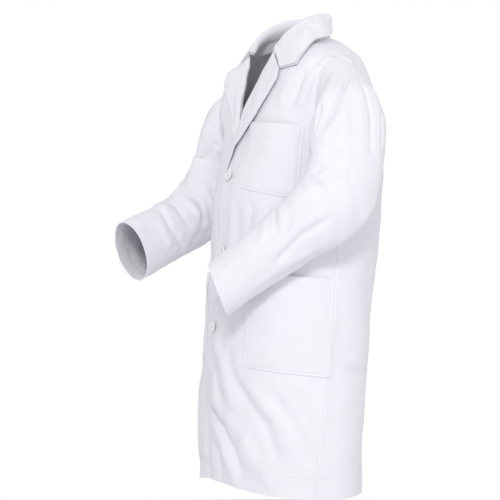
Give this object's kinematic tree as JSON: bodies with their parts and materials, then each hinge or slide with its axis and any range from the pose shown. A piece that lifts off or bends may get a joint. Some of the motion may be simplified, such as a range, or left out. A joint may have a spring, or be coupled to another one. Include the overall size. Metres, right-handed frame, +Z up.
{
  "type": "lab coat",
  "caption": "Child's white lab coat as worn, with a notched collar, long bent sleeves, a buttoned front and patch pockets.",
  "frame": {"origin": "middle of the neck opening, at the height where the neck seam meets the shoulders", "axes": "+Z up, -Y out of the buttoned front, +X to the wearer's left"},
  "size_m": [0.49, 0.3845, 0.7306],
  "materials": {
    "white_cloth": "matt, fine poly-cotton twill",
    "tape": "matt woven tape",
    "button_plastic": "polished pearl-white resin",
    "thread": "cotton sewing thread"
  },
  "bodies": {
    "coat_body": {"back_panel": "white_cloth", "left_front_panel": "white_cloth", "right_front_panel": "white_cloth", "left_front_facing": "white_cloth", "right_front_facing": "white_cloth", "left_lapel": "white_cloth", "right_lapel": "white_cloth", "upper_collar": "white_cloth", "under_collar": "white_cloth", "chest_pocket": "white_cloth", "left_hip_pocket": "white_cloth", "right_hip_pocket": "white_cloth", "button_1": "button_plastic", "button_2": "button_plastic", "button_3": "button_plastic", "button_thread_1": "thread", "button_thread_2": "thread", "button_thread_3": "thread", "neck_label": "tape", "hanger_loop": "tape"},
    "left_upper_sleeve": {"left_sleeve_upper": "white_cloth"},
    "left_lower_sleeve": {"left_sleeve_lower": "white_cloth"},
    "right_upper_sleeve": {"right_sleeve_upper": "white_cloth"},
    "right_lower_sleeve": {"right_sleeve_lower": "white_cloth"}
  },
  "joints": [
    {"name": "left_shoulder_swing", "type": "hinge", "parent": "coat_body", "child": "left_upper_sleeve", "pos_m": [0.134, 0.008, -0.103], "axis": [-1, 0, 0], "range_deg": [0, 40]},
    {"name": "left_elbow_bend", "type": "hinge", "parent": "left_upper_sleeve", "child": "left_lower_sleeve", "pos_m": [0.192, -0.024, -0.24], "axis": [0.6251, -0.7023, 0.3406], "range_deg": [-5, 30]},
    {"name": "right_shoulder_swing", "type": "hinge", "parent": "coat_body", "child": "right_upper_sleeve", "pos_m": [-0.134, 0.008, -0.103], "axis": [-1, 0, 0], "range_deg": [-8, 40]},
    {"name": "right_elbow_bend", "type": "hinge", "parent": "right_upper_sleeve", "child": "right_lower_sleeve", "pos_m": [-0.188, -0.058, -0.258], "axis": [0.7247, 0.5587, -0.4034], "range_deg": [-30, 30]}
  ]
}
